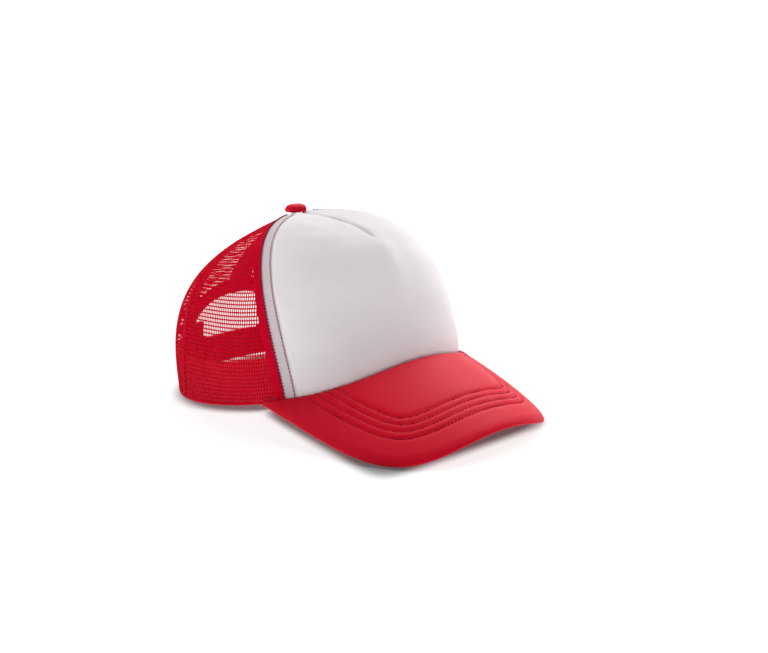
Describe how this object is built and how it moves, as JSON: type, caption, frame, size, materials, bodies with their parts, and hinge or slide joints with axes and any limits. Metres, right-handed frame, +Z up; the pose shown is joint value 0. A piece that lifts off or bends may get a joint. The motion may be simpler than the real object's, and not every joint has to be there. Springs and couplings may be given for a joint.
{
  "type": "trucker cap",
  "caption": "Trucker cap with a white foam front, red net crown, bent red visor, covered button and a snap strap across the back opening.",
  "frame": {"origin": "middle of the cap's box, on the ground it rests on", "axes": "+Z up, the visor points to -Y, +X is the wearer's left"},
  "size_m": [0.1784, 0.2548, 0.1221],
  "materials": {
    "foam_cloth": "matt laminated foam",
    "net": "open knitted net, slight sheen",
    "visor_cloth": "smooth cloth with a soft sheen",
    "cloth": "matt cotton tape",
    "strap_plastic": "semi-matt moulded plastic"
  },
  "bodies": {
    "root": {"front_panel": "foam_cloth", "side_net_right": "net", "back_net_right": "net", "side_net_left": "net", "back_net_left": "net", "visor": "visor_cloth", "sweatband": "cloth", "front_seam_tape_right": "cloth", "back_seam_tape_right": "cloth", "front_seam_tape_left": "cloth", "back_seam_tape_left": "cloth", "centre_back_tape": "cloth", "arch_binding": "cloth", "snap_strap_right": "strap_plastic", "snap_strap_left": "strap_plastic", "button": "visor_cloth"}
  },
  "joints": []
}
